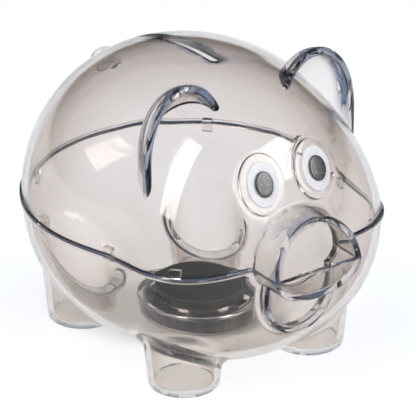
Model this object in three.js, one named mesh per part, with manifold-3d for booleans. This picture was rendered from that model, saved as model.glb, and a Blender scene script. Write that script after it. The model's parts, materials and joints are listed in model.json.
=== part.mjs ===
// Clear plastic piggy bank: two half shells joined at mid height, a black twist-lock stopper in the belly
// and stick-on eyes. Millimetres, +Z up. The pig faces -Y, its left side is +X, and it stands on z = 0.
import * as THREE from 'three';
import { mergeVertices } from 'three/addons/utils/BufferGeometryUtils.js';
import Module from 'manifold-3d';

const wasm = await Module();
wasm.setup();

// ---- Driving dimensions -------------------------------------------------------------------------------
const overallLength = 130;      // nose face to the back of the rim
const seamHeight = 49.7;        // joint plane between the two half shells
const wall = 2;                 // moulded wall of the shells
const partGap = 0.3;            // air between pieces that meet
const rimProud = 0.7;           // how far the rim at the joint plane stands out
const rimHeight = 1.1;          // height of that rim on each half

// Body: a round barrel with square cheeks in front of it.
const barrelRadius = 54.6;
const headOffset = 19.9;        // barrel centre to head centre
const cheekHalfWidth = 48.3;
const cheekReach = 41.7;        // head centre to the face
const cheekSquareness = 3.7;    // power of the head outline: 2 is an ellipse, more is squarer
const crownSoftening = 1.6;     // taken off that power from the joint plane to the crown
const blendPower = 24;          // how sharply the head outline gives way to the barrel outline
const crownHeight = 53.7;       // joint plane to the top of the back
const crownOffset = 14.3;       // barrel centre to the highest point of the back
const crownSidePower = 1.94;
const crownCheekPower = 1.0;    // taken off crownSidePower low down towards the face
const crownLongPower = 2.29;
const bellyDepth = 44.7;        // joint plane to the lowest point of the belly
const bellyOffset = 18.3;       // barrel centre to the lowest point of the belly
const bellySidePower = 2.55;
const bellyCheekPower = 1.0;    // taken off bellySidePower towards the face
const bellyLongPower = 2.55;
const bellyFacePower = 0.95;    // added to bellyLongPower towards the face, taken off towards the tail

// Nose, lower lip and eyes.
const noseRadius = 17.2;        // half width, and height above the joint plane
const noseDrop = 9.8;           // height below the joint plane
const noseLean = 13;            // degrees that the upper face leans back
const lipHalfWidth = 14.3;
const lipHalfHeight = 15.4;
const lipDrop = 11.1;           // joint plane to the lip's centre
const lipReach = 3.2;           // how far the lip stands in front of the face
const eyeSpacing = 20.8;
const eyeRise = 26.7;           // joint plane to the eye centres
const eyeBoss = [8.1, 10.05];   // half width and half height
const eyeBossRise = 0.8;        // face of the boss in front of the head
const eyeWhite = [5.6, 7.6];
const eyePupil = [3.25, 4.25];
const eyeThickness = 0.6;
const eyeBossRoot = 6;          // how far the boss reaches back into the head

// Ears: scoops open to the front.
const earSpacing = 51.7;
const earSetback = 37.2;        // barrel centre to the open front of the ear
const earRise = 34;           // joint plane to the middle of the ear
const earHalfWidth = 15.8;
const earHalfHeight = 23.5;
const earDepth = 15;
const earWall = 2.4;

// Coin slot along the back.
const slotLength = 46;
const slotWidth = 4.4;
const slotOffset = 3.9;         // slot centre behind the barrel centre

// Curly tail.
const tailRise = 28.5;
const tailLoop = 3.2;           // radius of the curl
const tailThickness = 1.5;      // radius of the tail itself
const tailTurns = 1.25;
const tailReach = 4.5;          // how far the tail's end stands behind the back
const tailRoot = 1.5;           // how far its start lies inside the wall
const tailStartShare = 1.2;     // radius of the curl at its start, as a share of tailLoop
const tailEndShare = 0.8;       // the same at its end
const tailSquash = 0.75;        // height of the curl as a share of its width
const tailLift = 0.6;           // how far its middle stands above tailRise, as a share of tailLoop

// Legs: hollow, tapered, closed at the foot.
const legSpacing = 50.8;
const legPitch = 59.4;
const legOffset = 5.35;         // barrel centre to the middle of the four legs
const footRadius = 11.8;
const legTaper = 0.1;           // growth of the radius per millimetre of height
const footChamfer = 0.7;
const legTopDrop = 8;           // joint plane to the top of the leg

// Belly stopper: a flange in a round well, a stub through the well's ceiling, and two bayonet lugs.
const stopperOffset = 7.2;      // barrel centre to the stopper's centre
const flangeRadius = 18.2;
const flangeHeight = 7.3;
const flangeClear = 4.7;        // table to the underside of the flange
const stubRadius = 14.7;
const stubHeight = 6;           // above the flange
const stopperWall = 2;
const gripThickness = 4;
const lugReach = 2.2;
const lugHeight = 1.8;
const lugAngle = 28;            // degrees that each lug spans
const lockAngle = 60;           // degrees from locked to free
const lugNotchClear = 4;        // extra degrees in the notch that a lug drops through
const overlap = 1;              // how far joined or cutting solids run past each other

// Locating tabs under the upper rim, at these angles from the nose, on both sides.
const tabAngles = [52, 84, 116, 148];
const tabWidth = 3.4;
const tabThickness = 1.1;
const tabDrop = 2.4;
const tabGap = 0.8;             // air between a tab and the lower wall

// ---- Values worked out from them ----------------------------------------------------------------------
const noseFaceY = -overallLength / 2;
const barrelY = overallLength / 2 - rimProud - barrelRadius;
const headY = barrelY - headOffset;
const faceY = headY - cheekReach;
const earFaceY = barrelY - earSetback;
const stopperY = barrelY - stopperOffset;
const legMidY = barrelY - legOffset;
const flangeTop = flangeClear + flangeHeight;
const wellTop = flangeTop + partGap;
const wellRadius = flangeRadius + partGap;
const stubTop = flangeTop + stubHeight;
const noseLeanTan = Math.tan(THREE.MathUtils.degToRad(noseLean));
const far = 4 * overallLength;  // size of the blocks that cut half spaces

// ---- Solids -------------------------------------------------------------------------------------------
function solidOf(geometry) {
  const bare = geometry.clone();
  bare.deleteAttribute('normal');
  bare.deleteAttribute('uv');
  const merged = mergeVertices(bare, 1e-4);
  const vertProperties = new Float32Array(merged.attributes.position.array);
  const triVerts = new Uint32Array(merged.index.array);
  return new wasm.Manifold(new wasm.Mesh({ numProp: 3, vertProperties, triVerts }));
}

function geometryOf(solid) {
  const mesh = solid.getMesh();
  const geometry = new THREE.BufferGeometry();
  geometry.setAttribute('position', new THREE.BufferAttribute(new Float32Array(mesh.vertProperties), 3));
  geometry.setIndex(new THREE.BufferAttribute(new Uint32Array(mesh.triVerts), 1));
  geometry.computeVertexNormals();
  return geometry;
}

function joined(solids) {
  return solids.reduce((sum, solid) => sum.add(solid));
}

function box(sizeX, sizeY, sizeZ, x, y, z, matrix = new THREE.Matrix4()) {
  const geometry = new THREE.BoxGeometry(sizeX, sizeY, sizeZ).translate(x, y, z).applyMatrix4(matrix);
  return solidOf(geometry);
}

function aboveSeam(gap) {
  return box(far, far, far, 0, 0, seamHeight + gap + far / 2);
}

function belowSeam(gap) {
  return box(far, far, far, 0, 0, seamHeight - gap - far / 2);
}

// Distance from the head centre to the wall, by the cosine and sine of the angle from the nose: the power
// mean of the barrel circle and the head superellipse. inset moves the wall inwards.
function rimDistance(cos, sin, inset, squareness) {
  const radius = barrelRadius - inset;
  const barrel = -headOffset * cos + Math.sqrt(radius ** 2 - (headOffset * sin) ** 2);
  const wide = Math.abs(sin) / (cheekHalfWidth - inset);
  const long = Math.abs(cos) / (cheekReach - inset);
  const head = (wide ** squareness + long ** squareness) ** (-1 / squareness);
  return (barrel ** blendPower + head ** blendPower) ** (1 / blendPower);
}

// A point of the body wall: height share t of the crown or belly shrinks the rim outline along a
// superellipse, in X towards the middle and in Y towards the highest or lowest point.
function bodyPoint(cos, sin, height, inset) {
  const upper = height >= 0;
  const t = Math.min(Math.abs(height), 1);
  const front = Math.max(cos, 0) ** 2;
  const crownPower = crownSidePower - crownCheekPower * front * (1 - t);
  const sidePower = upper ? crownPower : bellySidePower - bellyCheekPower * front;
  const longPower = upper ? crownLongPower : bellyLongPower + bellyFacePower * cos;
  const reach = (upper ? crownHeight : bellyDepth) - inset;
  const apexY = barrelY - (upper ? crownOffset : bellyOffset);
  const squareness = upper ? cheekSquareness - crownSoftening * t : cheekSquareness;
  const rim = rimDistance(cos, sin, inset, squareness);
  const x = rim * sin * (1 - t ** sidePower) ** (1 / sidePower);
  const y = apexY + (headY - rim * cos - apexY) * (1 - t ** longPower) ** (1 / longPower);
  return [x, y, seamHeight + Math.sign(height) * reach * t];
}

// The body as a sphere whose every vertex is moved onto the wall.
function bodySolid(inset, columns = 44, rows = 24) {
  const sphere = new THREE.SphereGeometry(1, columns, rows);
  const points = sphere.attributes.position;
  for (let i = 0; i < points.count; i += 1) {
    const height = Math.abs(points.getY(i)) < 1e-6 ? 0 : points.getY(i);
    const turn = Math.hypot(points.getX(i), points.getZ(i)) || 1;
    const atPole = Math.abs(height) > 0.999999;
    const cos = atPole ? 1 : points.getZ(i) / turn;
    const sin = atPole ? 0 : points.getX(i) / turn;
    points.setXYZ(i, ...bodyPoint(cos, sin, height, inset));
  }
  return solidOf(sphere);
}

// An outline in X and Z, raised by z, pushed along Y from frontY back by depth.
function pushedAlongY(shape, z, frontY, depth, segments) {
  const geometry = new THREE.ExtrudeGeometry(shape, { depth, bevelEnabled: false, curveSegments: segments });
  geometry.rotateX(Math.PI / 2).translate(0, frontY + depth, z);
  return solidOf(geometry);
}

function ellipseShape(halfWidth, halfHeight) {
  const shape = new THREE.Shape();
  shape.absellipse(0, 0, halfWidth, halfHeight, 0, 2 * Math.PI);
  return shape;
}

// The nose: a half disc above the joint plane and a flat half ellipse below it. The upper face leans back.
function noseSolid(inset) {
  const radius = noseRadius - inset;
  const shape = new THREE.Shape();
  shape.absarc(0, 0, radius, 0, Math.PI);
  shape.absellipse(0, 0, radius, noseDrop - inset, Math.PI, 2 * Math.PI);
  const frontY = noseFaceY + inset;
  const block = pushedAlongY(shape, seamHeight, frontY, headY - frontY, 12);
  const lean = new THREE.Matrix4().makeRotationX(-Math.atan(noseLeanTan));
  const place = new THREE.Matrix4().makeTranslation(0, frontY, seamHeight).multiply(lean);
  return block.subtract(box(far, far, far, 0, -far / 2, 0, place).intersect(aboveSeam(0)));
}

function lipSolid(inset) {
  const frontY = faceY - lipReach + inset;
  const shape = ellipseShape(lipHalfWidth - inset, lipHalfHeight - inset);
  return pushedAlongY(shape, seamHeight - lipDrop, frontY, headY - frontY, 10);
}

// The point of the face wall at x and a height share, found by halving the angle from the nose.
function wallAt(x, height) {
  let low = 0;
  let high = Math.PI / 2;
  for (let i = 0; i < 40; i += 1) {
    const middle = (low + high) / 2;
    const [reach] = bodyPoint(Math.cos(middle), Math.sin(middle), height, 0);
    [low, high] = reach < Math.abs(x) ? [middle, high] : [low, middle];
  }
  const [, y, z] = bodyPoint(Math.cos(low), Math.sin(low), height, 0);
  return new THREE.Vector3(x, y, z);
}

// Place of an eye: its origin on the face wall, its +Y into the wall. side is 1 on the pig's left.
function eyePlace(side) {
  const x = side * eyeSpacing / 2;
  const height = eyeRise / crownHeight;
  const at = wallAt(x, height);
  const across = wallAt(x + 1, height).sub(wallAt(x - 1, height)).normalize();
  const up = wallAt(x, height + 0.01).sub(wallAt(x, height - 0.01)).normalize();
  const inward = new THREE.Vector3().crossVectors(up, across).normalize();
  const upright = new THREE.Vector3().crossVectors(across, inward);
  return new THREE.Matrix4().makeBasis(across, inward, upright).setPosition(at);
}

// An oval slab in front of the head: front and back are distances in front of the head wall.
function eyeSlab(side, halves, back, front) {
  const options = { depth: front - back, bevelEnabled: false, curveSegments: 10 };
  const geometry = new THREE.ExtrudeGeometry(ellipseShape(...halves), options);
  geometry.rotateX(Math.PI / 2).translate(0, -back, 0).applyMatrix4(eyePlace(side));
  return solidOf(geometry);
}

// Ear: half an ellipsoid above earRise and its plan half ellipse below it, open to the front.
function earSolid(side, inset) {
  const sphere = new THREE.SphereGeometry(1, 24, 12);
  sphere.rotateX(Math.PI / 2);
  const points = sphere.attributes.position;
  for (let i = 0; i < points.count; i += 1) {
    const x = points.getX(i) * (earHalfWidth - inset);
    const y = points.getY(i) * (earDepth - inset);
    const z = points.getZ(i) * (earHalfHeight - inset);
    points.setXYZ(i, x, y, Math.max(z, 0));
  }
  const place = [side * earSpacing / 2, earFaceY, seamHeight + earRise];
  const dome = solidOf(sphere.translate(...place));
  const ring = new THREE.Shape();
  ring.absellipse(0, 0, earHalfWidth - inset, earDepth - inset, 0, 2 * Math.PI);
  const skirtOptions = { depth: earRise, bevelEnabled: false, curveSegments: 12 };
  const skirt = new THREE.ExtrudeGeometry(ring, skirtOptions).translate(0, 0, -earRise).translate(...place);
  return dome.add(solidOf(skirt));
}

function earShell(side) {
  const behindFace = box(far, far, far, 0, earFaceY + far / 2, 0);
  return earSolid(side, 0).subtract(earSolid(side, earWall)).intersect(behindFace);
}

// Coin slot: a stadium outline cut straight down through the back.
function slotCutter() {
  const half = slotLength / 2 - slotWidth / 2;
  const shape = new THREE.Shape();
  shape.absarc(0, half, slotWidth / 2, 0, Math.PI);
  shape.absarc(0, -half, slotWidth / 2, Math.PI, 2 * Math.PI);
  const geometry = new THREE.ExtrudeGeometry(shape, { depth: far, bevelEnabled: false, curveSegments: 6 });
  return solidOf(geometry.translate(0, barrelY + slotOffset, seamHeight + crownHeight / 2));
}

// Tail: a curl standing on the back, its radius shrinking to the tip.
class TailCurve extends THREE.Curve {
  getPoint(share, target = new THREE.Vector3()) {
    const turn = share * tailTurns * 2 * Math.PI;
    const [, rootY, rootZ] = bodyPoint(-1, 0, tailRise / crownHeight, 0);
    const radius = tailLoop * (tailStartShare + (tailEndShare - tailStartShare) * share);
    const y = rootY - tailRoot + (tailRoot + tailReach) * share;
    const z = rootZ + tailLift * tailLoop - tailSquash * radius * Math.cos(turn);
    return target.set(radius * Math.sin(turn), y, z);
  }
}

function tailSolid() {
  const section = new THREE.Shape();
  section.absarc(0, 0, tailThickness, 0, 2 * Math.PI);
  const options = { extrudePath: new TailCurve(), steps: 20, curveSegments: 4, bevelEnabled: false };
  return solidOf(new THREE.ExtrudeGeometry(section, options));
}

// Legs: tapered tubes from the foot up into the body.
function legSolid(x, y, inset) {
  const top = seamHeight - legTopDrop;
  const radius = footRadius - inset;
  const bottom = inset > 0 ? inset : 0;
  const grown = radius + legTaper * top;
  const profile = [
    new THREE.Vector2(0, bottom),
    new THREE.Vector2(radius - footChamfer + legTaper * bottom, bottom),
    new THREE.Vector2(radius + legTaper * (bottom + footChamfer), bottom + footChamfer),
    new THREE.Vector2(grown, top),
    new THREE.Vector2(0, top),
  ];
  const geometry = new THREE.LatheGeometry(profile, 20);
  return solidOf(geometry.rotateX(Math.PI / 2).translate(x, y, 0));
}

const legPlaces = [-1, 1].flatMap((side) => [-1, 1].map((end) => [
  side * legSpacing / 2,
  legMidY + end * legPitch / 2,
]));

// A round solid about the stopper's axis between two heights.
function stopperDisc(radius, low, high, segments = 40) {
  const geometry = new THREE.CylinderGeometry(radius, radius, high - low, segments);
  geometry.rotateX(Math.PI / 2).translate(0, stopperY, (low + high) / 2);
  return solidOf(geometry);
}

// Two opposite pie slices about the stopper's axis, centred on an angle from +X.
function stopperWedges(radius, low, high, centre, span) {
  const slices = [0, 180].map((offset) => {
    const shape = new THREE.Shape();
    const from = THREE.MathUtils.degToRad(centre + offset - span / 2);
    const to = THREE.MathUtils.degToRad(centre + offset + span / 2);
    shape.moveTo(0, 0);
    shape.absarc(0, 0, radius, from, to);
    shape.lineTo(0, 0);
    const options = { depth: high - low, bevelEnabled: false, curveSegments: 6 };
    return solidOf(new THREE.ExtrudeGeometry(shape, options).translate(0, stopperY, low));
  });
  return joined(slices);
}

function stopperSolid() {
  const flange = stopperDisc(flangeRadius, flangeClear, flangeTop);
  const stub = stopperDisc(stubRadius, flangeTop - overlap, stubTop);
  const lugLow = wellTop + wall + partGap;
  const lugs = stopperWedges(stubRadius + lugReach, lugLow, lugLow + lugHeight, 0, lugAngle);
  const hollow = stopperDisc(stubRadius - stopperWall, flangeClear - overlap, stubTop - stopperWall);
  const gripTop = stubTop - overlap;
  const gripLength = 2 * stubRadius - stopperWall;
  const gripMiddle = (gripTop + flangeClear) / 2;
  const grip = box(gripThickness, gripLength, gripTop - flangeClear, 0, stopperY, gripMiddle);
  return flange.add(stub).add(lugs).subtract(hollow).add(grip);
}

// The well that holds the stopper: a ring and a ceiling inside the belly.
function wellSolid() {
  return stopperDisc(wellRadius + wall, flangeClear, wellTop + wall);
}

function wellCut() {
  const room = stopperDisc(wellRadius, -far, wellTop);
  const hole = stopperDisc(stubRadius + partGap, 0, stubTop + wall);
  const notchSpan = lugAngle + lugNotchClear;
  const notchRadius = stubRadius + lugReach + 2 * partGap;
  const notch = stopperWedges(notchRadius, wellTop - overlap, stubTop + wall, -lockAngle, notchSpan);
  return room.add(hole).add(notch);
}

// Small blocks under the upper rim that sit just inside the lower wall, each on a web from the upper wall.
function tabSolids() {
  const inset = tabGap + tabThickness / 2;
  return [-1, 1].flatMap((side) => tabAngles.map((degrees) => {
    const [before, at, after] = [-1, 0, 1].map((step) => {
      const angle = THREE.MathUtils.degToRad(degrees + step);
      return bodyPoint(Math.cos(angle), side * Math.sin(angle), -tabDrop / bellyDepth, wall);
    });
    const outward = Math.atan2(side * (before[0] - after[0]), side * (after[1] - before[1]));
    const turn = new THREE.Matrix4().makeRotationZ(outward);
    const place = new THREE.Matrix4().makeTranslation(at[0], at[1], seamHeight).multiply(turn);
    const top = 2 * rimHeight;
    const tab = box(tabThickness, tabWidth, top + tabDrop, -inset, 0, (top - tabDrop) / 2, place);
    const web = box(wall, tabWidth, top - partGap, wall / 2 - inset, 0, (top + partGap) / 2, place);
    return tab.add(web);
  }));
}

const outer = bodySolid(0);
const rim = bodySolid(-rimProud).intersect(box(far, far, 2 * rimHeight, 0, 0, seamHeight));
const inner = joined([bodySolid(wall), noseSolid(wall)]);

function upperShell() {
  const bosses = [-1, 1].map((side) => eyeSlab(side, eyeBoss, -eyeBossRoot, eyeBossRise));
  const ears = [-1, 1].map(earShell);
  const skin = joined([outer, rim, noseSolid(0), tailSolid(), ...bosses, ...ears]);
  const half = skin.subtract(inner).intersect(aboveSeam(partGap / 2)).subtract(slotCutter());
  return joined([half, ...tabSolids()]);
}

function lowerShell() {
  const legs = legPlaces.map(([x, y]) => legSolid(x, y, 0));
  const hollows = legPlaces.map(([x, y]) => legSolid(x, y, wall));
  const skin = joined([outer, rim, noseSolid(0), lipSolid(0), ...legs]);
  const room = joined([inner, lipSolid(wall), ...hollows]);
  return skin.subtract(room).add(wellSolid()).subtract(wellCut()).intersect(belowSeam(partGap / 2));
}

// ---- Materials and nodes ------------------------------------------------------------------------------
const clear = new THREE.MeshStandardMaterial({
  color: 0xcdc7c1, roughness: 0.06, metalness: 0, transparent: true, opacity: 0.35,
});
const black = new THREE.MeshStandardMaterial({ color: 0x1d1b1a, roughness: 0.4, metalness: 0 });
const white = new THREE.MeshStandardMaterial({ color: 0xcdcfd0, roughness: 0.55, metalness: 0 });
const gloss = new THREE.MeshStandardMaterial({ color: 0x0f0e0d, roughness: 0.15, metalness: 0 });

const pig = new THREE.Group();

function addNode(name, solid, material) {
  const node = new THREE.Mesh(geometryOf(solid), material.clone());
  node.name = name;
  pig.add(node);
}

addNode('upper_shell', upperShell(), clear);
addNode('lower_shell', lowerShell(), clear);
addNode('belly_stopper', stopperSolid(), black);

const whiteBack = eyeBossRise + partGap;
const pupilBack = whiteBack + eyeThickness + partGap;
for (const [side, name] of [[1, 'left'], [-1, 'right']]) {
  addNode(`eye_white_${name}`, eyeSlab(side, eyeWhite, whiteBack, whiteBack + eyeThickness), white);
  addNode(`eye_pupil_${name}`, eyeSlab(side, eyePupil, pupilBack, pupilBack + eyeThickness), gloss);
}

export default pig;
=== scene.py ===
import json
import math
import bpy
import numpy as np
from mathutils import Matrix, Vector

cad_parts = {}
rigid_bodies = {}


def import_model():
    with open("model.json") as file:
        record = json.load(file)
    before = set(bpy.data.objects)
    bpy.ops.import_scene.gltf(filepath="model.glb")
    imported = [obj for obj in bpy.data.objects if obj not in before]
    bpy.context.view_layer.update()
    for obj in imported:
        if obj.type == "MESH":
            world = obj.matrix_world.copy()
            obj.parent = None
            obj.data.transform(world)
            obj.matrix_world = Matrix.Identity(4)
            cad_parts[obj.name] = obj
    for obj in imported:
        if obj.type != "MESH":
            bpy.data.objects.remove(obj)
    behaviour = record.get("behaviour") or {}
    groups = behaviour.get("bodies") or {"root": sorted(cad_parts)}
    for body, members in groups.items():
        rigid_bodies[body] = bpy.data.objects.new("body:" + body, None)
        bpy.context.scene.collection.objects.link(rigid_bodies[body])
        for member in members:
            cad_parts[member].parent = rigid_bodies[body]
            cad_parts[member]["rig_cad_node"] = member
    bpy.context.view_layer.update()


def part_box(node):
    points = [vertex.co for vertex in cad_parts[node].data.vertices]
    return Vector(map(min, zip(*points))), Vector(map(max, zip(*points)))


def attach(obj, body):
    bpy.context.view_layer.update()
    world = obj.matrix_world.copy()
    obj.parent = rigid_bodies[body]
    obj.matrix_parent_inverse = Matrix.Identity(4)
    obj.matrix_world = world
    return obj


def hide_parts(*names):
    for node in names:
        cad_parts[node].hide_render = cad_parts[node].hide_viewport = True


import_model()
print("frame loaded")

mm = 0.001  # lengths below are in millimetres and meshes in metres


def boxOf(node):  # lowest and highest corner of a frame node, in millimetres
    return [np.array(corner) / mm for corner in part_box(node)]


# the body's own sizes; a user changes them together with the frame's
body = dict(
    wall=2.0, partGap=0.3, columns=180, rows=96,
    barrelRadius=54.6, headOffset=19.9, cheekHalfWidth=48.3, cheekReach=41.7, cheekSquareness=3.7,
    crownSoftening=1.6, blendPower=24, crownHeight=53.7, crownOffset=14.3, crownSidePower=1.94,
    crownCheekPower=1.0, crownLongPower=2.29, bellyDepth=44.7, bellyOffset=18.3, bellySidePower=2.55,
    bellyCheekPower=1.0, bellyLongPower=2.55, bellyFacePower=0.95,
    rimProud=0.7, rimHeight=1.1, rimRoundness=4,
)
gap = body["partGap"]
seamZ = boxOf("lower_shell")[1][2] + gap / 2
noseY = boxOf("lower_shell")[0][1]
barrelY = boxOf("upper_shell")[1][1] - body["rimProud"] - body["barrelRadius"]
headY = barrelY - body["headOffset"]
faceY = headY - body["cheekReach"]


def rimDistance(angle, inset, squareness):
    # power mean of a circle and a superellipse, as a distance from the head centre by the angle from the nose
    cosine, sine = np.cos(angle), np.sin(angle)
    radius = body["barrelRadius"] - inset
    barrel = np.sqrt(radius**2 - (body["headOffset"] * sine) ** 2) - body["headOffset"] * cosine
    wide = np.abs(sine) / (body["cheekHalfWidth"] - inset)
    long = np.abs(cosine) / (body["cheekReach"] - inset)
    head = (wide**squareness + long**squareness) ** (-1 / squareness)
    return (barrel ** body["blendPower"] + head ** body["blendPower"]) ** (1 / body["blendPower"])


def bodyFactors(angle, height, inset):
    # superellipse shrink (1 - t^p)^(1/p) of the outline in x and in y at the height share t, with the y of the apex
    # that it shrinks to and the outline itself
    share, front = np.abs(height), np.maximum(np.cos(angle), 0) ** 2
    upper = height >= 0
    sidePower = np.where(
        upper,
        body["crownSidePower"] - body["crownCheekPower"] * front * (1 - share),
        body["bellySidePower"] - body["bellyCheekPower"] * front,
    )
    bellyLong = body["bellyLongPower"] + body["bellyFacePower"] * np.cos(angle)
    longPower = np.where(upper, body["crownLongPower"], bellyLong)
    apexY = barrelY - np.where(upper, body["crownOffset"], body["bellyOffset"])
    squareness = body["cheekSquareness"] - np.where(upper, body["crownSoftening"] * share, 0)
    factorX = (1 - share**sidePower) ** (1 / sidePower)
    factorY = (1 - share**longPower) ** (1 / longPower)
    return factorX, factorY, apexY, rimDistance(angle, inset, squareness)


def bodyPoint(angle, height, inset):
    # the outline at the angle, shrunk in x to the middle and in y to the apex, at the height share
    factorX, factorY, apexY, rim = bodyFactors(angle, height, inset)
    x = rim * np.sin(angle) * factorX
    y = apexY + (headY - rim * np.cos(angle) - apexY) * factorY
    reach = np.where(height >= 0, body["crownHeight"], body["bellyDepth"]) - inset
    return np.stack([x, y, seamZ + height * reach], -1)


def bodyShare(points, inset):
    # distance of points from the head centre over the wall's distance, both stretched back to the seam, which is 1
    # on the wall
    reach = np.where(points[..., 2] >= seamZ, body["crownHeight"], body["bellyDepth"]) - inset
    height = np.clip((points[..., 2] - seamZ) / reach, -0.99999, 0.99999)
    angle = np.arctan2(points[..., 0], headY - points[..., 1])
    for _ in range(12):  # the factors depend on the angle that they give, so a few rounds settle it
        factorX, factorY, apexY, rim = bodyFactors(angle, height, inset)
        x = points[..., 0] / factorX
        y = apexY + (points[..., 1] - apexY) / factorY
        angle = np.arctan2(x, headY - y)
    return np.hypot(x, y - headY) / rim


def wallBetween(inside, outside, inset):
    # where the straight line from an inside point to an outside point meets the wall, by halving
    low, high = np.zeros(inside.shape[:-1]), np.ones(inside.shape[:-1])
    for _ in range(26):
        middle = (low + high) / 2
        within = bodyShare(inside + (outside - inside) * middle[..., None], inset) < 1
        low, high = np.where(within, middle, low), np.where(within, high, middle)
    return inside + (outside - inside) * low[..., None]


def curveThrough(start, corner, end, shares):
    # quadratic curve from start to end that bends towards corner
    s = np.asarray(shares)[:, None, None]
    return (1 - s) ** 2 * start + 2 * s * (1 - s) * corner + s**2 * end


def roundedProfile(corners, radii, steps=5):
    # corners of a polyline, each one cut back by its radius along both sides and bridged by a quadratic curve
    corners = np.array(corners, float)
    points = [corners[:1]]
    for before, corner, after, radius in zip(corners[:-2], corners[1:-1], corners[2:], radii):
        if radius == 0:
            points.append(corner[None])
            continue
        start = corner + (before - corner) * min(radius / np.linalg.norm(before - corner), 0.5)
        end = corner + (after - corner) * min(radius / np.linalg.norm(after - corner), 0.5)
        s = np.linspace(0, 1, steps)[:, None]
        points.append((1 - s) ** 2 * start + 2 * s * (1 - s) * corner + s**2 * end)
    points.append(corners[-1:])
    return np.vstack(points)


def solid(name, points, loop=False):
    # a closed skin over rings of points; the rings loop, or the two ends are closed by fans
    rows, columns = points.shape[:2]
    index = np.arange(rows * columns).reshape(rows, columns)
    here, there = (index, np.roll(index, -1, 0)) if loop else (index[:-1], index[1:])
    quads = np.stack([here, np.roll(here, -1, 1), np.roll(there, -1, 1), there], -1).reshape(-1, 4)
    vertices = points.reshape(-1, 3)
    fans = np.zeros((0, 3), int)
    if not loop:
        vertices = np.vstack([vertices, points[0].mean(0), points[-1].mean(0)])
        lowEnd = np.stack([np.roll(index[0], -1), index[0], np.full(columns, rows * columns)], -1)
        highEnd = np.stack([index[-1], np.roll(index[-1], -1), np.full(columns, rows * columns + 1)], -1)
        fans = np.vstack([lowEnd, highEnd])
    triangles = np.vstack([quads[:, [0, 1, 2]], quads[:, [0, 2, 3]], fans])
    a, b, c = (vertices[triangles[:, i]] for i in range(3))
    if (np.cross(a, b) * c).sum() < 0:  # a negative volume means that the faces look inwards
        quads, fans = quads[:, ::-1], fans[:, ::-1]
    mesh = bpy.data.meshes.new(name)
    mesh.from_pydata((vertices * mm).tolist(), [], quads.tolist() + fans.tolist())
    piece = bpy.data.objects.new(name, mesh)
    bpy.context.scene.collection.objects.link(piece)
    return piece


def block(name, low, high, place=None):
    # a box between two corners, moved by a matrix if one is given
    x, y = [low[0], high[0], high[0], low[0]], [low[1], low[1], high[1], high[1]]
    points = np.array([[[x[i], y[i], z] for i in range(4)] for z in (low[2], high[2])], float)
    if place is not None:
        points = points @ place[:3, :3].T + place[:3, 3]
    return solid(name, points)


def turned(name, profile, centre, columns=96):
    # a profile of radius and height carried round a vertical axis
    angle = np.linspace(0, 2 * np.pi, columns, endpoint=False)
    radius, height = profile[:, 0, None], profile[:, 1, None]
    x, y = centre[0] + radius * np.cos(angle), centre[1] + radius * np.sin(angle)
    return solid(name, np.stack([x, y, np.broadcast_to(height, x.shape)], -1))


def combined(target, steps):
    # target joined with, cut by or cut to each tool in turn; the tools are used up
    for operation, tool in steps:
        change = target.modifiers.new(operation, "BOOLEAN")
        change.operation, change.object, change.solver = operation, tool, "MANIFOLD"
    bpy.context.view_layer.update()
    evaluated = target.evaluated_get(bpy.context.evaluated_depsgraph_get())
    mesh = bpy.data.meshes.new_from_object(evaluated)
    target.modifiers.clear()
    target.data = mesh
    for _, tool in steps:
        if tool.name in bpy.data.objects:
            bpy.data.objects.remove(tool)
    return target


def shaded(piece, degrees=32):
    # smooth shading with creases sharper than the angle kept
    piece.data.polygons.foreach_set("use_smooth", [True] * len(piece.data.polygons))
    piece.data.set_sharp_from_angle(angle=math.radians(degrees))
    return piece


far = 400
join, cut, keep = "UNION", "DIFFERENCE", "INTERSECT"


def bodySolid(name, inset):
    # the body wall on a grid of angle from the nose and height share, closed at both poles
    angle = np.linspace(0, 2 * np.pi, body["columns"], endpoint=False)
    height = np.sin(np.linspace(-0.4925, 0.4925, body["rows"]) * np.pi)
    height[np.abs(height) < 1e-9] = 0
    turn, rise = np.meshgrid((angle + np.pi) % (2 * np.pi) - np.pi, height)
    points = bodyPoint(turn, rise, inset)
    apexes = bodyPoint(np.zeros(2), np.array([-0.9999999, 0.9999999]), inset)
    piece = solid(name, points)
    count = len(piece.data.vertices)
    for i, apex in zip((count - 2, count - 1), apexes):
        piece.data.vertices[i].co = Vector(apex) * mm
    return piece


def rimSolid(name):
    # a rounded rectangle carried round the seam outline
    angle = np.linspace(-np.pi, np.pi, body["columns"], endpoint=False)[:, None]
    turn = np.linspace(0, 2 * np.pi, 32, endpoint=False)[None]
    power = 2 / body["rimRoundness"]
    across = np.sign(np.cos(turn)) * np.abs(np.cos(turn)) ** power
    along = np.sign(np.sin(turn)) * np.abs(np.sin(turn)) ** power
    half = (body["wall"] * 0.7 + body["rimProud"]) / 2
    inset = half - body["rimProud"] - half * across
    distance = rimDistance(angle, inset, body["cheekSquareness"])
    x, y = distance * np.sin(angle), headY - distance * np.cos(angle)
    return solid(name, np.stack([x, y, seamZ + body["rimHeight"] * along + 0 * x], -1), loop=True)


nose = dict(radius=17.2, drop=9.8, lean=13, fillet=1.8, edge=0.9, columns=96)


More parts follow.
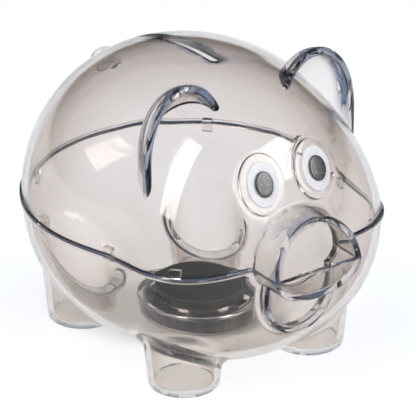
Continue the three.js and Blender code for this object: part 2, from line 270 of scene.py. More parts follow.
def noseSolid(name, inset):
    # a half disc over a flat half ellipse, carried along y: root fillet on the wall, side, rounded edge, and a face
    # whose upper half leans back
    turn = np.linspace(0, 2 * np.pi, nose["columns"], endpoint=False)
    lean = math.tan(math.radians(nose["lean"]))

    def ring(grow, depth=None):
        radius, drop = nose["radius"] - inset + grow, nose["drop"] - inset + grow
        x, z = radius * np.cos(turn), seamZ + np.where(np.sin(turn) > 0, radius, drop) * np.sin(turn)
        if depth is None:
            return np.stack([x, headY + 0 * x, z], -1)
        return np.stack([x, noseY + inset + depth + np.maximum(z - seamZ, 0) * lean, z], -1)

    ahead = np.array([0, noseY - headY - 30, 0])
    base, wide = ring(0), ring(nose["fillet"])
    corner = wallBetween(base, base + ahead, inset)
    foot = wallBetween(wide, wide + ahead, inset) + [0, 0.05, 0]
    start = corner - [0, nose["fillet"], 0]
    rows = [base[None], (foot + [0, 1.2, 0])[None], curveThrough(foot, corner, start, np.linspace(0, 1, 7))]
    edge = nose["edge"] if inset == 0 else 0.4
    rows.append(curveThrough(ring(0, edge), ring(0, 0), ring(-edge, 0), np.linspace(0, 1, 6)))
    rows.append(np.stack([ring(-shrink, 0) for shrink in (3, 6)]))
    return solid(name, np.vstack(rows))


lip = dict(halfWidth=14.3, halfHeight=15.4, drop=11.1, reach=3.2, fillet=2.2, edge=1.6, columns=96)


def lipSolid(name, inset):
    # an ellipse carried along y out of the face: root fillet on the wall, side, rounded edge, flat front
    turn = np.linspace(0, 2 * np.pi, lip["columns"], endpoint=False)

    def ring(grow, y):
        x = (lip["halfWidth"] - inset + grow) * np.cos(turn)
        z = seamZ - lip["drop"] + (lip["halfHeight"] - inset + grow) * np.sin(turn)
        return np.stack([x, y + 0 * x, z], -1)

    ahead = np.array([0, noseY - headY - 30, 0])
    frontY = faceY - lip["reach"] + inset
    base, wide = ring(0, headY), ring(lip["fillet"], headY)
    corner = wallBetween(base, base + ahead, inset)
    foot = wallBetween(wide, wide + ahead, inset) + [0, 0.05, 0]
    room = np.clip((corner[:, 1] - frontY - 0.3) / 2, 0.05, lip["fillet"])[:, None]
    start = corner - room * [0, 1, 0]
    rows = [base[None], (foot + [0, 1.2, 0])[None], curveThrough(foot, corner, start, np.linspace(0, 1, 7))]
    edge = min(lip["edge"], 1.2) if inset == 0 else 0.5
    lead = ring(0, frontY + edge)
    lead[:, 1] = np.minimum(lead[:, 1], start[:, 1] - 0.05)
    rows.append(curveThrough(lead, ring(0, frontY), ring(-edge, frontY), np.linspace(0, 1, 6)))
    rows.append(np.stack([ring(-shrink, frontY) for shrink in (4, 8)]))
    return solid(name, np.vstack(rows))


eyes = dict(
    spacing=20.8, riseShare=0.497207, boss=(8.1, 10.05), bossRise=0.8, bossRoot=6, fillet=1.4, edge=0.5,
    columns=72,
)


def eyePlace(side):
    # matrix with its origin on the face wall at the eye, its y axis into the wall and its z axis up the face
    x, z = side * eyes["spacing"] / 2, body["crownHeight"] * eyes["riseShare"] + seamZ
    step = 0.01 * body["crownHeight"]
    at = np.array([[x + dx, headY, z + dz] for dx, dz in ((0, 0), (1, 0), (-1, 0), (0, step), (0, -step))])
    wall = wallBetween(at, at + [0, noseY - headY - 30, 0], 0)
    across = wall[1] - wall[2]
    across /= np.linalg.norm(across)
    inward = np.cross(wall[3] - wall[4], across)
    inward /= np.linalg.norm(inward)
    place = np.eye(4)
    place[:3] = np.stack([across, inward, np.cross(across, inward), wall[0]], 1)
    return place


def placed(points, place):
    # points turned and moved by a matrix
    return points @ place[:3, :3].T + place[:3, 3]


def bossSolid(name, side):
    # an ellipse carried out of the face wall: root fillet, side, rounded edge, gently domed top
    turn = np.linspace(0, 2 * np.pi, eyes["columns"], endpoint=False)
    place = eyePlace(side)

    def ring(grow, rise):
        u, v = (eyes["boss"][0] + grow) * np.cos(turn), (eyes["boss"][1] + grow) * np.sin(turn)
        return placed(np.stack([u, 0 * u - rise, v], -1), place)

    root, top, fillet, edge = -eyes["bossRoot"], eyes["bossRise"], eyes["fillet"], eyes["edge"]
    corner = wallBetween(ring(0, root), ring(0, 6), 0)
    foot = wallBetween(ring(fillet, root), ring(fillet, 6), 0) + place[:3, 1] * 0.04
    start = corner + (ring(0, top - edge) - corner) * 0.5
    rows = [ring(0, root)[None], (foot + place[:3, 1] * 0.8)[None]]
    rows.append(curveThrough(foot, corner, start, np.linspace(0, 1, 6)))
    rows.append(curveThrough(ring(0, top - edge), ring(0, top), ring(-edge, top), np.linspace(0, 1, 5)))
    rows.append(np.stack([ring(-2, top), ring(-5, top)]))
    return solid(name, np.vstack(rows))


ear = dict(
    spacing=51.7, setback=37.2, rise=34, halfWidth=15.8, halfHeight=23.5, depth=15, wall=2.4, bead=1.4,
    columns=96, rows=26,
)


def scoopSolid(name, side, inset):
    # half an ellipsoid on an elliptic column: plan ellipses whose size follows a quarter ellipse above the column
    turn = np.linspace(0, 2 * np.pi, ear["columns"], endpoint=False)[None]
    climb = np.linspace(0, 0.985, ear["rows"])[:, None] * np.pi / 2  # stops short of the pole, which a fan closes
    width, depth, height = (ear[key] - inset for key in ("halfWidth", "depth", "halfHeight"))
    scale = np.vstack([[[1]], np.cos(climb)])
    rise = np.vstack([[[-ear["rise"]]], height * np.sin(climb)])
    x = side * ear["spacing"] / 2 + width * scale * np.cos(turn)
    y = barrelY - ear["setback"] + depth * scale * np.sin(turn)
    return solid(name, np.stack([x, y, seamZ + ear["rise"] + rise + 0 * x], -1))


def tube(path, radius, count=20):
    # circles carried along a path, each square to it and turned as little as possible from the one before
    ahead = np.gradient(path, axis=0)
    ahead /= np.linalg.norm(ahead, axis=1)[:, None]
    side = np.cross(ahead, [0.0, 1.0, 0.0])
    side /= np.linalg.norm(side, axis=1)[:, None]
    over = np.cross(side, ahead)
    turn = np.linspace(0, 2 * np.pi, count, endpoint=False)
    ring = np.cos(turn)[None, :, None] * side[:, None] + np.sin(turn)[None, :, None] * over[:, None]
    return path[:, None] + ring * np.asarray(radius)[..., None, None]


def earEdge(side):
    # the ear's open edge: straight up, over a half ellipse and straight down
    width, height = ear["halfWidth"] - ear["wall"] / 2, ear["halfHeight"] - ear["wall"] / 2
    climb = np.linspace(-0.9, 0, 14, endpoint=False) * ear["rise"]
    arch = np.linspace(0, np.pi, 72)
    x = np.concatenate([np.full(14, width), width * np.cos(arch), np.full(14, -width)])
    z = np.concatenate([climb, height * np.sin(arch), climb[::-1]])
    y = barrelY - ear["setback"] + ear["wall"] * 0.35
    return np.stack([x + side * ear["spacing"] / 2, np.full_like(x, y), seamZ + ear["rise"] + z], -1)


def beadSolid(name, side):
    # a round bead carried along the ear's open edge
    path = earEdge(side)
    return solid(name, tube(path, np.full(len(path), ear["bead"])))


def earSolid(name, side):
    # the back half of a hollowed scoop, with a bead along its open edge
    scoop = scoopSolid(name, side, 0)
    faceEarY = barrelY - ear["setback"]
    behind = block("behind", (-far, faceEarY, -far), (far, faceEarY + far, far))
    return combined(scoop, [(cut, scoopSolid("scoopRoom", side, ear["wall"])), (keep, behind),
                            (join, beadSolid("bead", side))])


tail = dict(
    rise=28.5, loop=3.2, loopShares=(1.2, 0.8), squash=0.75, lift=0.6, radius=1.5, tip=0.9,
    turns=1.25, reach=4.5, root=1.5,
)


def tailSolid(name):
    # a helix standing on the back whose radius shrinks to the tip, with a rounded end
    share = np.linspace(0, 1, 80)
    _, rootY, rootZ = bodyPoint(np.array(np.pi), np.array(tail["rise"] / body["crownHeight"]), 0)
    start, end = tail["loopShares"]
    turn, loop = share * tail["turns"] * 2 * np.pi, tail["loop"] * (start - (start - end) * share)
    y = rootY - tail["root"] + (tail["root"] + tail["reach"]) * share
    z = rootZ + tail["lift"] * tail["loop"] - tail["squash"] * loop * np.cos(turn)
    path = np.stack([loop * np.sin(turn), y, z], -1)
    taper = tail["radius"] + (tail["tip"] - tail["radius"]) * share
    taper *= np.sqrt(np.clip(1 - ((share - 0.95) / 0.0505).clip(0) ** 2, 0.01, 1))
    return solid(name, tube(path, taper))


slot = dict(length=46, width=4.4, offset=3.9)


def slotSolid(name):
    # a stadium outline carried straight down through the back
    turn = np.linspace(0, 2 * np.pi, 48, endpoint=False)
    half = (slot["length"] - slot["width"]) / 2
    x = slot["width"] / 2 * np.cos(turn)
    y = barrelY + slot["offset"] + slot["width"] / 2 * np.sin(turn) + half * np.sign(np.sin(turn))
    rows = [np.stack([x, y, np.full_like(x, z)], -1) for z in (seamZ + body["crownHeight"] * 0.5, far)]
    return solid(name, np.stack(rows))


leg = dict(spacing=50.8, pitch=59.4, offset=5.35, footRadius=11.8, taper=0.1, edge=1.0, fillet=4.0, columns=96)
legPlaces = [
    (side * leg["spacing"] / 2, barrelY - leg["offset"] + end * leg["pitch"] / 2)
    for side in (-1, 1) for end in (-1, 1)
]


def legSolid(name, x, y, inset):
    # circles that widen upwards: flat foot, rounded edge, side, and a fillet that runs out on the belly
    turn = np.linspace(0, 2 * np.pi, leg["columns"], endpoint=False)

    def ring(z, grow=0.0):
        radius = leg["footRadius"] - inset + leg["taper"] * np.maximum(z, 0) + grow
        return np.stack([x + radius * np.cos(turn), y + radius * np.sin(turn), z + 0 * turn], -1)

    def meeting(grow):
        z = np.full(len(turn), 20.0)
        for _ in range(6):  # the radius depends on the height where the leg meets the belly
            inside, outside = ring(z, grow), ring(z, grow)
            inside[:, 2], outside[:, 2] = seamZ, 0
            z = wallBetween(inside, outside, inset)[:, 2]
        return ring(z, grow)

    corner = meeting(0)
    slope = (meeting(0.4)[:, 2] - corner[:, 2]) / 0.4
    grow = leg["fillet"] / np.sqrt(1 + slope**2)
    foot = meeting(grow) + [0, 0, 0.05]
    start = ring(corner[:, 2] - leg["fillet"])
    edge = leg["edge"] if inset == 0 else 0.8
    base, side = ring(inset), ring(inset + edge)
    rows = [np.stack([base + (np.array([x, y, inset]) - base) * share for share in (0.8, 0.4)])]
    rows.append(curveThrough(ring(inset, -edge), base, side, np.linspace(0, 1, 6)))
    rows.append(side + (start - side) * np.linspace(0, 1, 12)[1:-1, None, None])
    rows.append(curveThrough(start, corner, foot, np.linspace(0, 1, 9)))
    roof = ring(np.full(len(turn), seamZ - 5), -3)
    inward = foot + (np.array([x, y, 0]) - foot) * [0.15, 0.15, 0] + [0, 0, 1.5]
    rows += [inward[None], roof[None]]
    return solid(name, np.vstack(rows))


# stopper and the well that holds it; the centre comes from the frame
stopper = dict(
    flangeRadius=18.2, flangeHeight=7.3, stubRadius=14.7, wall=2.0, grip=4.0,
    lugReach=2.2, lugHeight=1.8, lugAngle=28, lockAngle=60, lugNotchClear=4, ribs=40, ribDepth=0.35,
)
stopperLow, stopperHigh = boxOf("belly_stopper")
stopperY = (stopperLow[1] + stopperHigh[1]) / 2
flangeClear, stubTop = stopperLow[2], stopperHigh[2]
flangeTop = flangeClear + stopper["flangeHeight"]
wellTop = flangeTop + gap
wellRadius = stopper["flangeRadius"] + gap


def wedges(name, radius, low, high, centre, span):
    # two opposite pie slices about the stopper's axis, centred on an angle in degrees from +X
    pieces = []
    for offset in (0, 180):
        turn = np.radians(centre + offset + np.linspace(-span / 2, span / 2, 12))
        outline = np.vstack([[0, 0], np.stack([np.cos(turn), np.sin(turn)], -1) * radius]) + [0, stopperY]
        points = np.stack([np.c_[outline, np.full(len(outline), z)] for z in (low, high)])
        pieces.append(solid(name + str(offset), points))
    return pieces


def disc(name, radius, low, high, edge=0.0):
    # a cylinder about the stopper's axis, with both rims rounded if an edge is given
    corners = [(radius * 0.5, low), (radius, low), (radius, high), (radius * 0.5, high)]
    return turned(name, roundedProfile(corners, [edge, edge]), (0, stopperY))


def wellSteps():
    # the well's ring and ceiling, then its room, its hole and the notches that the lugs drop through
    wall, clear = body["wall"], 2 * gap
    ring = disc("wellRing", wellRadius + wall, flangeClear, wellTop + wall, 0.8)
    room = disc("wellRoom", wellRadius, -20, wellTop, 0.5)
    hole = disc("wellHole", stopper["stubRadius"] + gap, 0, stubTop + wall)
    radius = stopper["stubRadius"] + stopper["lugReach"] + clear
    span = stopper["lugAngle"] + stopper["lugNotchClear"]
    notches = wedges("notch", radius, wellTop - 1, stubTop + wall, -stopper["lockAngle"], span)
    return [(join, ring), (cut, room), (cut, hole)] + [(cut, notch) for notch in notches]


tabs = dict(angles=(52, 84, 116, 148), width=3.4, thickness=1.1, drop=2.4, gap=0.8)


def tabSolids():
    # small blocks just inside the lower wall, square to it, each on a web from the upper wall
    pieces = []
    inset, top = tabs["gap"] + tabs["thickness"] / 2, 2 * body["rimHeight"]
    for side in (-1, 1):
        for degrees in tabs["angles"]:
            angle = side * np.radians(degrees + np.array([-1, 0, 1]))
            before, at, after = bodyPoint(angle, np.full(3, -tabs["drop"] / body["bellyDepth"]), body["wall"])
            turn = math.atan2(side * (before[0] - after[0]), side * (after[1] - before[1]))
            place = np.array(Matrix.Translation((at[0], at[1], seamZ)) @ Matrix.Rotation(turn, 4, "Z"))
            thick, half = tabs["thickness"] / 2, tabs["width"] / 2
            tab = block("tab", (-inset - thick, -half, -tabs["drop"]), (-inset + thick, half, top), place)
            web = block("web", (-inset, -half, gap), (body["wall"] - inset, half, top), place)
            pieces += [tab, web]
    return pieces


def innerSteps():
    # the cavity that both shells share: the body and the nose, each smaller by the wall
    return [(cut, bodySolid("room", body["wall"])), (cut, noseSolid("noseRoom", body["wall"]))]


def makeUpper():
    print("upper shell")
    shell = bodySolid("clearUpperShell", 0)
    steps = [(join, rimSolid("rim")), (join, noseSolid("nose", 0)), (join, tailSolid("tail"))]
    steps += [(join, bossSolid("boss", side)) for side in (-1, 1)]
    steps += [(join, earSolid("ear", side)) for side in (-1, 1)]
    steps += innerSteps()
    steps += [(keep, block("above", (-far, -far, seamZ + gap / 2), (far, far, far))), (cut, slotSolid("slot"))]
    steps += [(join, tab) for tab in tabSolids()]
    return combined(shell, steps)


def makeLower():
    print("lower shell")
    shell = bodySolid("clearLowerShell", 0)
    steps = [(join, rimSolid("rim")), (join, noseSolid("nose", 0)), (join, lipSolid("lip", 0))]
    steps += [(join, legSolid("leg", x, y, 0)) for x, y in legPlaces]
    steps += innerSteps() + [(cut, lipSolid("lipRoom", body["wall"]))]
    steps += [(cut, legSolid("legRoom", x, y, body["wall"])) for x, y in legPlaces]
    steps += wellSteps()
    steps += [(keep, block("below", (-far, -far, -far), (far, far, seamZ - gap / 2)))]
    return combined(shell, steps)


def makeStopper():
    # a stepped profile turned about the axis, its flange radius dipping by a cosine power between the ribs
    print("stopper")
    wall, stub, flange = stopper["wall"], stopper["stubRadius"], stopper["flangeRadius"]
    turn = np.linspace(0, 2 * np.pi, 480, endpoint=False)[None]
    corners = [(stub * 0.5, flangeClear), (flange, flangeClear), (flange, flangeTop), (stub, flangeTop),
               (stub, stubTop), (stub * 0.5, stubTop)]
    profile = roundedProfile(corners, [0.8, 0.8, 0.5, 0.8])
    ribbed = np.clip((profile[:, 0] - flange + 1) / 1, 0, 1)[:, None]
    radius = profile[:, :1] - ribbed * stopper["ribDepth"] * (0.5 - 0.5 * np.cos(stopper["ribs"] * turn)) ** 2
    x, y = radius * np.cos(turn), stopperY + radius * np.sin(turn)
    piece = solid("blackStopper", np.stack([x, y, profile[:, 1:] + 0 * x], -1))
    lugLow = wellTop + wall + gap
    lugs = wedges("lug", stub + stopper["lugReach"], lugLow, lugLow + stopper["lugHeight"], 0, stopper["lugAngle"])
    hollow = disc("hollow", stub - wall, flangeClear - 5, stubTop - wall, 0.8)
    half, reach = stopper["grip"] / 2, stub - wall / 2
    grip = block("grip", (-half, stopperY - reach, flangeClear + 0.3), (half, stopperY + reach, stubTop - 1))
    return combined(piece, [(join, lug) for lug in lugs] + [(cut, hollow), (join, grip)])


eyeDiscs = dict(white=(5.6, 7.6), pupil=(3.25, 4.25), thickness=0.6, edge=0.28, dome=0.12)


def makeDisc(name, side, halves, back):
    # an ellipse carried out of the face: flat back, rounded edge, top domed by a parabola
    turn = np.linspace(0, 2 * np.pi, 64, endpoint=False)
    thick, edge, dome = eyeDiscs["thickness"] - eyeDiscs["dome"], eyeDiscs["edge"], eyeDiscs["dome"]
    shrink = np.concatenate([[3, 1, 0, 0, 0.04, 0.13, edge], np.linspace(edge + 0.3, halves[0] * 0.9, 8)])
    rise = np.concatenate([[0, 0, 0, thick - edge, thick - 0.12, thick - 0.03, thick], np.full(8, thick)])
    rise[7:] += dome * (1 - (1 - shrink[7:] / halves[0]) ** 2)
    shrink = shrink[:, None]
    u = (halves[0] - shrink) * np.cos(turn)
    v = (halves[1] - shrink * halves[1] / halves[0]) * np.sin(turn)
    points = np.stack([u, -(back + rise[:, None]) + 0 * u, v], -1)
    return solid(name, placed(points, eyePlace(side)))


# how far the painted edge reflections reach from each kind of edge, in millimetres; the streaks below are these
# painted reflections
thickReach = dict(ear=6.0, nose=1.5, lip=1.6, slot=2.2, foot=1.6)
clearWall = (1.004, 0.02)  # streaks start at this body share, just outside the wall, and fade in over this much


def slotMouth():
    # the slot's outline on the back: two straight sides and two half circles
    half = (slot["length"] - slot["width"]) / 2
    along = np.linspace(-half, half, 60)
    turn = np.linspace(0, 2 * np.pi, 60, endpoint=False)
    ends = np.stack([np.cos(turn) * slot["width"] / 2,
                     np.sin(turn) * slot["width"] / 2 + half * np.sign(np.sin(turn)), 0 * turn], -1)
    sides = [np.stack([0 * along + side * slot["width"] / 2, along, 0 * along], -1) for side in (-1, 1)]
    mouth = np.vstack([ends] + sides) + [0, barrelY + slot["offset"], seamZ]
    return wallBetween(mouth, mouth + [0, 0, 80], 0)


def footCurves():
    # a circle in the rounded edge of each foot
    turn = np.linspace(0, 2 * np.pi, 100, endpoint=False)
    radius, height = leg["footRadius"] - 0.2 * leg["edge"], 0.2 * leg["edge"]
    return [np.stack([x + radius * np.cos(turn), y + radius * np.sin(turn), height + 0 * turn], -1)
            for x, y in legPlaces]


def thickCurves():
    # curves along the ears' edges, the nose's front and root, and the lip's front, which carry the painted edge
    # reflections
    turn = np.linspace(0, 2 * np.pi, 120, endpoint=False)
    lean = math.tan(math.radians(nose["lean"]))
    x = nose["radius"] * np.cos(turn)
    z = seamZ + np.where(np.sin(turn) > 0, nose["radius"], nose["drop"]) * np.sin(turn)
    front = np.stack([x, noseY + np.maximum(z - seamZ, 0) * lean, z], -1)
    inside = np.stack([x, headY + 0 * x, z], -1)
    root = wallBetween(inside, front - [0, 30, 0], 0)
    lipEdge = np.stack([lip["halfWidth"] * np.cos(turn), 0 * turn + faceY - lip["reach"],
                        seamZ - lip["drop"] + lip["halfHeight"] * np.sin(turn)], -1)
    curves = [(earEdge(side), thickReach["ear"]) for side in (-1, 1)]
    return curves + [(front, thickReach["nose"]), (root[root[:, 2] > seamZ], thickReach["nose"]),
                     (lipEdge, thickReach["lip"])]


# materials
def nodeMaterial(name):
    material = bpy.data.materials.new(name)
    material.use_nodes = True
    tree = material.node_tree
    shader = tree.nodes["Principled BSDF"]
    spot = tree.nodes.new("ShaderNodeTexCoord")
    return material, tree, shader, spot


def noise(tree, spot, scale, detail=2.0, roughness=0.5, stretch=None):
    node = tree.nodes.new("ShaderNodeTexNoise")
    node.inputs["Scale"].default_value = scale
    node.inputs["Detail"].default_value = detail
    node.inputs["Roughness"].default_value = roughness
    place = spot.outputs["Object"]
    if stretch:
        mapping = tree.nodes.new("ShaderNodeMapping")
        mapping.inputs["Scale"].default_value = stretch
        tree.links.new(place, mapping.inputs["Vector"])
        place = mapping.outputs["Vector"]
    tree.links.new(place, node.inputs["Vector"])
    return node.outputs["Fac"]


def attribute(tree, name):
    node = tree.nodes.new("ShaderNodeAttribute")
    node.attribute_name = name
    return node.outputs["Fac"]


def mixed(tree, blend, factor, first, second):
    node = tree.nodes.new("ShaderNodeMix")
    node.data_type, node.blend_type = "RGBA", blend
    if isinstance(factor, float):
        node.inputs["Factor"].default_value = factor
    else:
        tree.links.new(factor, node.inputs["Factor"])
    tree.links.new(first, node.inputs[6])  # the colour sockets A and B
    tree.links.new(second, node.inputs[7])
    return node.outputs[2]


def ramp(tree, value, stops):
    node = tree.nodes.new("ShaderNodeValToRGB")
    elements = node.color_ramp.elements
    while len(elements) < len(stops):
        elements.new(0.5)
    for element, (position, colour) in zip(elements, stops):
        element.position, element.color = position, (*colour, 1)
    tree.links.new(value, node.inputs["Fac"])
    return node.outputs["Color"]


def bump(tree, shader, height, strength, distance):
    node = tree.nodes.new("ShaderNodeBump")
    node.inputs["Strength"].default_value = strength
    node.inputs["Distance"].default_value = distance
    tree.links.new(height, node.inputs["Height"])
    tree.links.new(node.outputs["Normal"], shader.inputs["Normal"])


clearLook = dict(
    tint=(0.87, 0.835, 0.805), haze=(0.91, 0.88, 0.855), drift=18, ior=1.57, reflection=0.36, roughness=0.03,
    waves=55, ripple=0.00012,
    shade=[(0.10, (1, 1, 1)), (0.42, (0.84, 0.81, 0.78)), (0.70, (0.64, 0.60, 0.56)), (0.95, (0.30, 0.28, 0.26))],
    # painted shade: the dark line at the seam's height and round the foot edges, and how far it wanders
    lineShade=[(0.42, (0.42, 0.40, 0.39)), (0.80, (1, 1, 1))], lineShadeWander=0.8, lineShadeScale=300, reflectionStretch=(160, 160, 55),
    # painted reflections in thick edges: stops from pale over black to slate, along stretched noise
    edgeReflections=[(0.42, (0.86, 0.87, 0.90)), (0.435, (0.04, 0.05, 0.06)), (0.455, (0.04, 0.05, 0.06)),
           (0.465, (0.16, 0.22, 0.36)), (0.585, (0.18, 0.25, 0.40)), (0.595, (0.03, 0.035, 0.045)),
           (0.62, (0.03, 0.035, 0.045)), (0.635, (0.88, 0.89, 0.92))],
)


def clearPlastic():
    # clear polystyrene: a warm grey tint that drifts and deepens where the wall is seen on edge, painted shade as a
    # dark line at the seam and the foot edges, painted reflections as dark and slate streaks in thick edges, and
    # slow flow waves from moulding
    material, tree, shader, spot = nodeMaterial("clearPlastic")
    shader.inputs["Transmission Weight"].default_value = 1.0
    shader.inputs["IOR"].default_value = clearLook["ior"]
    shader.inputs["Roughness"].default_value = clearLook["roughness"]
    shader.inputs["Specular Tint"].default_value = (*[clearLook["reflection"]] * 3, 1)
    tint = ramp(tree, noise(tree, spot, clearLook["drift"]), [(0.3, clearLook["tint"]), (0.7, clearLook["haze"])])
    edge = tree.nodes.new("ShaderNodeLayerWeight")
    edge.inputs["Blend"].default_value = 0.5
    shade = ramp(tree, edge.outputs["Facing"], clearLook["shade"])
    # painted shade: darker along the seam's height and round the foot edges, its edge wandering with noise
    wander = tree.nodes.new("ShaderNodeMath")
    wander.operation = "MULTIPLY_ADD"
    wander.inputs[1].default_value = clearLook["lineShadeWander"]
    tree.links.new(noise(tree, spot, clearLook["lineShadeScale"]), wander.inputs[0])
    tree.links.new(attribute(tree, "lineDistance"), wander.inputs[2])
    lineShade = ramp(tree, wander.outputs["Value"], clearLook["lineShade"])
    # painted reflections: dark and slate streaks, masked to the thick edges
    paintedReflection = ramp(tree, noise(tree, spot, 1.0, 1.5, 0.4, clearLook["reflectionStretch"]), clearLook["edgeReflections"])
    colour = mixed(tree, "MULTIPLY", 1.0, mixed(tree, "MULTIPLY", 1.0, tint, shade), lineShade)
    colour = mixed(tree, "MULTIPLY", attribute(tree, "edgeReflectionMask"), colour, paintedReflection)
    tree.links.new(colour, shader.inputs["Base Color"])
    bump(tree, shader, noise(tree, spot, clearLook["waves"], 1.0), 0.5, clearLook["ripple"])
    return material


stopperLook = dict(
    dark=(0.007, 0.0065, 0.006), worn=(0.022, 0.0205, 0.019), roughness=(0.35, 0.55), gloss=0.3,
    patches=120, grain=2600, grainDepth=0.00008,
)


def blackPlastic():
    # black moulded plastic with a fine grain and slightly greyer, rougher patches
    material, tree, shader, spot = nodeMaterial("blackPlastic")
    patches = noise(tree, spot, stopperLook["patches"], 6, 0.6)
    colour = ramp(tree, patches, [(0.35, stopperLook["dark"]), (0.75, stopperLook["worn"])])
    tree.links.new(colour, shader.inputs["Base Color"])
    shader.inputs["Specular IOR Level"].default_value = stopperLook["gloss"]
    low, high = stopperLook["roughness"]
    tree.links.new(ramp(tree, patches, [(0.3, (low,) * 3), (0.7, (high,) * 3)]), shader.inputs["Roughness"])
    bump(tree, shader, noise(tree, spot, stopperLook["grain"], 3), 0.35, stopperLook["grainDepth"])
    return material


eyeLook = dict(
    white=(0.55, 0.55, 0.555), grey=(0.40, 0.40, 0.41), black=(0.008, 0.0075, 0.007), glint=(0.14, 0.14, 0.14),
    flecks=3200, fleckDepth=0.00005, grain=1500,
)


def speckled(name, base, fleck, low, high, roughness, coat):
    # plastic film with fine flecks: thresholded noise over the base colour, and a matching grain
    material, tree, shader, spot = nodeMaterial(name)
    flecks = noise(tree, spot, eyeLook["flecks"], 3, 0.7)
    tree.links.new(ramp(tree, flecks, [(low, base), (high, fleck)]), shader.inputs["Base Color"])
    grain = noise(tree, spot, eyeLook["grain"], 2)
    rough = ramp(tree, grain, [(0.3, (roughness * 0.7,) * 3), (0.7, (roughness * 1.3,) * 3)])
    tree.links.new(rough, shader.inputs["Roughness"])
    shader.inputs["Coat Weight"].default_value = coat
    bump(tree, shader, flecks, 0.3, eyeLook["fleckDepth"])
    return material


def closeness(points, curve, reach):
    # 1 within half the reach of a curve's points, falling to 0 at the reach, by the smallest distance
    near = np.full(len(points), np.inf)
    for spot in curve:
        near = np.minimum(near, ((points - spot) ** 2).sum(1))
    return np.clip(2 - 2 * np.sqrt(near) / reach, 0, 1)


def setAttribute(piece, name, values):
    layer = piece.data.attributes.new(name, "FLOAT", "POINT")
    layer.data.foreach_set("value", values.astype(np.float32))


def markThickEdges(piece):
    # the edge attribute is the closeness to the edges of ears, nose, lip, slot and feet, which masks the painted
    # dark and slate reflections, and lineDistance the smallest distance in millimetres from the seam's height and
    # the foot edges, for the painted shade line
    points = np.empty(len(piece.data.vertices) * 3, np.float32)
    piece.data.vertices.foreach_get("co", points)
    points = points.reshape(-1, 3) / mm
    thick = np.zeros(len(points))
    for curve, reach in thickCurves():
        thick = np.maximum(thick, closeness(points, curve, reach))
    start, fade = clearWall
    thick *= np.clip((bodyShare(points, 0) - start) / fade, 0, 1)
    feet = footCurves()
    for curve, reach in [(slotMouth(), thickReach["slot"])] + [(foot, thickReach["foot"]) for foot in feet]:
        thick = np.maximum(thick, closeness(points, curve, reach))
    setAttribute(piece, "edgeReflectionMask", thick)
    line = np.abs(points[:, 2] - seamZ)
    for foot in feet:
        near = np.abs(points - foot.mean(0)).max(1) < 2 * leg["footRadius"]
        for spot in foot:
            line[near] = np.minimum(line[near], np.linalg.norm(points[near] - spot, axis=1))
    setAttribute(piece, "lineDistance", line)


def dress(piece, material, slotName, bodyName, *nodes):
    piece.data.materials.clear()
    piece.data.materials.append(material)
    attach(piece, bodyName)
    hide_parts(*nodes)


clear = clearPlastic()
for piece, node in ((makeUpper(), "upper_shell"), (makeLower(), "lower_shell")):
    shaded(piece)
    markThickEdges(piece)
    dress(piece, clear, "clear_shell", "bank", node)
    piece.visible_shadow = False  # light reaches the floor through clear plastic

dress(shaded(makeStopper()), blackPlastic(), "stopper_black", "stopper", "belly_stopper")

print("eyes")
whiteFilm = speckled("eyeWhiteFilm", eyeLook["white"], eyeLook["grey"], 0.5, 0.72, 0.5, 0.0)
blackFilm = speckled("eyeBlackFilm", eyeLook["black"], eyeLook["glint"], 0.52, 0.75, 0.3, 0.1)
whiteBack = eyes["bossRise"] + gap
pupilBack = whiteBack + eyeDiscs["thickness"] + gap
for side, end in ((1, "left"), (-1, "right")):
    white = makeDisc("eyeWhite" + end.title(), side, eyeDiscs["white"], whiteBack)
    dress(shaded(white, 40), whiteFilm, "eye_white", "bank", "eye_white_" + end)
    pupil = makeDisc("eyePupil" + end.title(), side, eyeDiscs["pupil"], pupilBack)
    dress(shaded(pupil, 40), blackFilm, "eye_black", "bank", "eye_pupil_" + end)

# floor, surround and camera
print("studio")
studio = dict(
    floor=(0.92, 0.92, 0.92), floorHalf=3.0, floorGlow=0.05,
    # brightness by height, from the pale horizon over a dark band to slate overhead
    surround=[(0.0, (0.95,) * 3), (0.02, (0.85,) * 3), (0.05, (0.02, 0.02, 0.025)), (0.20, (0.012, 0.014, 0.02)),
              (0.30, (0.09, 0.125, 0.21)), (1.0, (0.09, 0.125, 0.21))],
    # windows of light: azimuth, elevation, half width and half height as angles, brightness
    windows=[(-78, 44, 11, 24, 10.5), (28, 24, 15, 15, 10.5)],
)


def makeFloor():
    mesh = bpy.data.meshes.new("floor")
    half = studio["floorHalf"]
    mesh.from_pydata([(-half, -half, 0), (half, -half, 0), (half, half, 0), (-half, half, 0)], [], [(0, 1, 2, 3)])
    floor = bpy.data.objects.new("floor", mesh)
    bpy.context.scene.collection.objects.link(floor)
    material, tree, shader, spot = nodeMaterial("paleFloor")
    paler = tuple(channel + 0.02 for channel in studio["floor"])
    pale = ramp(tree, noise(tree, spot, 3), [(0.3, studio["floor"]), (0.7, paler)])
    tree.links.new(pale, shader.inputs["Base Color"])
    shader.inputs["Roughness"].default_value = 0.9
    shader.inputs["Emission Color"].default_value = (1, 1, 1, 1)
    shader.inputs["Emission Strength"].default_value = studio["floorGlow"]
    mesh.materials.append(material)


def direction(azimuth, elevation):
    # unit vector towards an azimuth from -Y and an elevation, in degrees
    a, e = math.radians(azimuth), math.radians(elevation)
    return Vector((math.sin(a) * math.cos(e), -math.cos(a) * math.cos(e), math.sin(e)))


def dotWith(tree, vector, axis):
    node = tree.nodes.new("ShaderNodeVectorMath")
    node.operation = "DOT_PRODUCT"
    node.inputs[1].default_value = axis
    tree.links.new(vector, node.inputs[0])
    return node.outputs["Value"]


def calculated(tree, operation, first, second=None):
    node = tree.nodes.new("ShaderNodeMath")
    node.operation = operation
    tree.links.new(first, node.inputs[0])
    if isinstance(second, float):
        node.inputs[1].default_value = second
    elif second is not None:
        tree.links.new(second, node.inputs[1])
    return node.outputs["Value"]


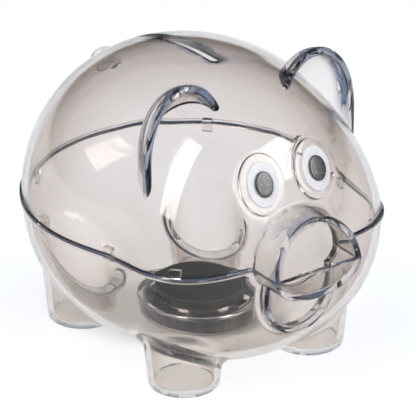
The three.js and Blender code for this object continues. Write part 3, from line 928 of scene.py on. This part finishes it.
def makeWorld():
    # the surround, with each window of light laid over it: a rectangle of directions about its middle
    world = bpy.data.worlds.new("studio")
    bpy.context.scene.world = world
    world.use_nodes = True
    tree = world.node_tree
    spot = tree.nodes.new("ShaderNodeTexCoord").outputs["Generated"]
    split = tree.nodes.new("ShaderNodeSeparateXYZ")
    tree.links.new(spot, split.inputs[0])
    light = ramp(tree, split.outputs["Z"], studio["surround"])
    for azimuth, elevation, width, height, brightness in studio["windows"]:
        middle = direction(azimuth, elevation)
        side = Vector((0, 0, 1)).cross(middle).normalized()
        across = dotWith(tree, spot, side / math.sin(math.radians(width)))
        along = dotWith(tree, spot, middle.cross(side) / math.sin(math.radians(height)))
        ahead = dotWith(tree, spot, middle)
        across, along = calculated(tree, "ABSOLUTE", across), calculated(tree, "ABSOLUTE", along)
        edge = calculated(tree, "MAXIMUM", across, along)
        edge = calculated(tree, "MAXIMUM", edge, calculated(tree, "MULTIPLY", ahead, -10.0))  # none on the far side
        share = tree.nodes.new("ShaderNodeMapRange")
        share.interpolation_type = "SMOOTHSTEP"
        share.inputs["From Min"].default_value, share.inputs["From Max"].default_value = 1.0, 0.9
        tree.links.new(edge, share.inputs["Value"])
        layer = tree.nodes.new("ShaderNodeMix")
        layer.data_type = "RGBA"
        layer.inputs[7].default_value = (brightness, brightness, brightness, 1)
        tree.links.new(share.outputs["Result"], layer.inputs["Factor"])
        tree.links.new(light, layer.inputs[6])
        light = layer.outputs[2]
    tree.links.new(light, tree.nodes["Background"].inputs["Color"])


view = dict(azimuth=-35.45, elevation=26.16, distance=1.383, aimRight=0.00443, aimUp=-0.00446, lens=360.4)


def makeCamera():
    # on a line from the aim towards the view's azimuth and elevation, looking back along it
    back = direction(view["azimuth"], view["elevation"])
    right = Vector((0, 0, 1)).cross(back).normalized()
    up = back.cross(right)
    aim = Vector((0, (barrelY - leg["offset"]) * mm, seamZ * mm)) + right * view["aimRight"] + up * view["aimUp"]
    camera = bpy.data.objects.new("camera", bpy.data.cameras.new("camera"))
    bpy.context.scene.collection.objects.link(camera)
    camera.data.lens, camera.data.sensor_width = view["lens"], 36
    camera.data.clip_end = 20
    camera.location = aim + back * view["distance"]
    camera.rotation_euler = (-back).to_track_quat("-Z", "Y").to_euler()
    bpy.context.scene.camera = camera


makeFloor()
makeWorld()
makeCamera()
scene = bpy.context.scene
scene.view_settings.view_transform = "Standard"
scene.cycles.max_bounces = 32
scene.cycles.transmission_bounces = 28
scene.cycles.glossy_bounces = 12
scene.cycles.transparent_max_bounces = 24
scene.cycles.caustics_refractive = False  # the shells cast no shadow, so light through them isn't counted twice

for piece in bpy.data.objects:
    if piece.type == "MESH" and not piece.get("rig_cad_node"):
        print(piece.name, len(piece.data.polygons), "faces")
